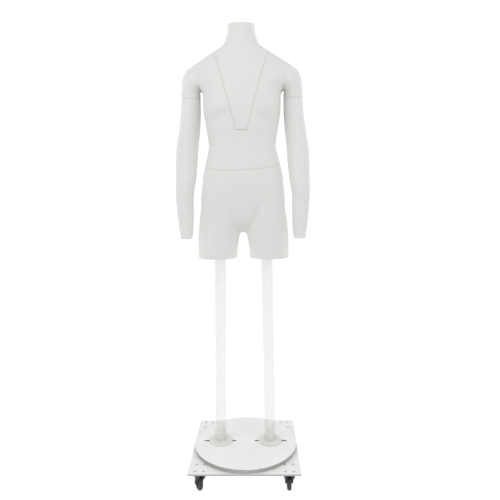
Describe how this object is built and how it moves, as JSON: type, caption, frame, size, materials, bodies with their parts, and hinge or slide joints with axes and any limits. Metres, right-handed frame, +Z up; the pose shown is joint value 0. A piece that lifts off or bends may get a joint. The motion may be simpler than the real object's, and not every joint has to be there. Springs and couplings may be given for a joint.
{
  "type": "dress form mannequin",
  "caption": "Headless white sectional torso with arms for garment photos, on clear tube legs, a turntable disc and a square base on casters",
  "frame": {"origin": "on the floor under the middle of the base plate, which is also under the middle of the body", "axes": "+Z up, the chest faces -Y, +X to the right as seen from the front"},
  "size_m": [0.4908, 0.4, 1.6736],
  "materials": {
    "shell": "matt white lacquer on a moulded glass-fibre shell",
    "base_paint": "white powder coat",
    "disc_lacquer": "white lacquer on board",
    "foot_paint": "white paint on turned metal",
    "foot_plastic": "off-white turned plastic",
    "clear_tube": "polished clear acrylic",
    "socket": "plain plastic",
    "board": "sealed plywood",
    "steel": "zinc-plated steel",
    "magnet": "nickel plate",
    "glide": "slippery white plastic",
    "caster_black": "black moulded nylon",
    "caster_steel": "black paint on pressed steel",
    "wheel_black": "black moulded wheel"
  },
  "bodies": {
    "base": {"base_plate": "base_paint", "caster_plates": "caster_steel", "caster_kingpins": "steel", "caster_bolts": "steel", "pivot_pin": "steel", "bearing_washer_lower": "steel", "bearing_balls": "steel", "glide_pads": "glide"},
    "turntable": {"turntable_disc": "disc_lacquer", "bearing_washer_upper": "steel", "leg_bolts": "steel", "leg_flanges": "foot_paint", "leg_spigots": "foot_plastic", "leg_tubes": "clear_tube", "thigh_sockets": "socket", "thigh_plates": "board", "hip_shell": "shell", "hip_plate": "board", "waist_pins": "steel", "hip_magnets": "magnet"},
    "upper_torso": {"waist_plate": "board", "waist_magnets": "magnet", "waist_shell": "shell", "waist_bulkhead": "board", "chest_shell": "shell", "shoulder_sockets": "steel"},
    "neck": {"neck_insert": "shell", "neck_cap": "shell"},
    "caster_fl": {"fork_fl": "caster_black", "axle_fl": "steel"},
    "roller_fl": {"wheel_fl": "wheel_black"},
    "caster_fr": {"fork_fr": "caster_black", "axle_fr": "steel"},
    "roller_fr": {"wheel_fr": "wheel_black"},
    "caster_bl": {"fork_bl": "caster_black", "axle_bl": "steel"},
    "roller_bl": {"wheel_bl": "wheel_black"},
    "caster_br": {"fork_br": "caster_black", "axle_br": "steel"},
    "roller_br": {"wheel_br": "wheel_black"},
    "shoulder_l": {"shoulder_cap_l": "shell", "shoulder_plate_l": "board", "cap_plate_l": "board"},
    "arm_l": {"arm_shell_l": "shell", "arm_plate_l": "board", "arm_end_l": "board"},
    "forearm_l": {"forearm_shell_l": "shell", "forearm_plate_l": "board", "wrist_plate_l": "shell"},
    "shoulder_r": {"shoulder_cap_r": "shell", "shoulder_plate_r": "board", "cap_plate_r": "board"},
    "arm_r": {"arm_shell_r": "shell", "arm_plate_r": "board", "arm_end_r": "board"},
    "forearm_r": {"forearm_shell_r": "shell", "forearm_plate_r": "board", "wrist_plate_r": "shell"}
  },
  "joints": [
    {"name": "turntable_spin", "type": "hinge", "parent": "base", "child": "turntable", "pos_m": [0, 0, 0.095], "axis": [0, 0, 1], "continuous": true},
    {"name": "swivel_fl", "type": "hinge", "parent": "base", "child": "caster_fl", "pos_m": [-0.16, -0.16, 0.075], "axis": [0, 0, 1], "continuous": true},
    {"name": "roll_fl", "type": "hinge", "parent": "caster_fl", "child": "roller_fl", "pos_m": [-0.16701, -0.14562, 0.03], "axis": [0.8988, 0.4384, 0], "continuous": true},
    {"name": "swivel_fr", "type": "hinge", "parent": "base", "child": "caster_fr", "pos_m": [0.16, -0.16, 0.075], "axis": [0, 0, 1], "continuous": true},
    {"name": "roll_fr", "type": "hinge", "parent": "caster_fr", "child": "roller_fr", "pos_m": [0.16, -0.144, 0.03], "axis": [1, 0, 0], "continuous": true},
    {"name": "swivel_bl", "type": "hinge", "parent": "base", "child": "caster_bl", "pos_m": [-0.16, 0.16, 0.075], "axis": [0, 0, 1], "continuous": true},
    {"name": "roll_bl", "type": "hinge", "parent": "caster_bl", "child": "roller_bl", "pos_m": [-0.16, 0.144, 0.03], "axis": [1, 0, 0], "continuous": true},
    {"name": "swivel_br", "type": "hinge", "parent": "base", "child": "caster_br", "pos_m": [0.16, 0.16, 0.075], "axis": [0, 0, 1], "continuous": true},
    {"name": "roll_br", "type": "hinge", "parent": "caster_br", "child": "roller_br", "pos_m": [0.16, 0.144, 0.03], "axis": [1, 0, 0], "continuous": true},
    {"name": "torso_lift", "type": "slide", "parent": "turntable", "child": "upper_torso", "axis": [0, 0, 1], "range_m": [0, 0.08]},
    {"name": "neck_lift", "type": "slide", "parent": "upper_torso", "child": "neck", "axis": [0, 0, 1], "range_m": [0, 0.3]},
    {"name": "shoulder_pull_l", "type": "slide", "parent": "upper_torso", "child": "shoulder_l", "axis": [-1, 0, 0], "range_m": [0, 0.05]},
    {"name": "arm_pull_l", "type": "slide", "parent": "shoulder_l", "child": "arm_l", "axis": [0, 0, -1], "range_m": [0, 0.05]},
    {"name": "forearm_pull_l", "type": "slide", "parent": "arm_l", "child": "forearm_l", "axis": [0, 0, -1], "range_m": [0, 0.05]},
    {"name": "shoulder_pull_r", "type": "slide", "parent": "upper_torso", "child": "shoulder_r", "axis": [1, 0, 0], "range_m": [0, 0.05]},
    {"name": "arm_pull_r", "type": "slide", "parent": "shoulder_r", "child": "arm_r", "axis": [0, 0, -1], "range_m": [0, 0.05]},
    {"name": "forearm_pull_r", "type": "slide", "parent": "arm_r", "child": "forearm_r", "axis": [0, 0, -1], "range_m": [0, 0.05]}
  ]
}
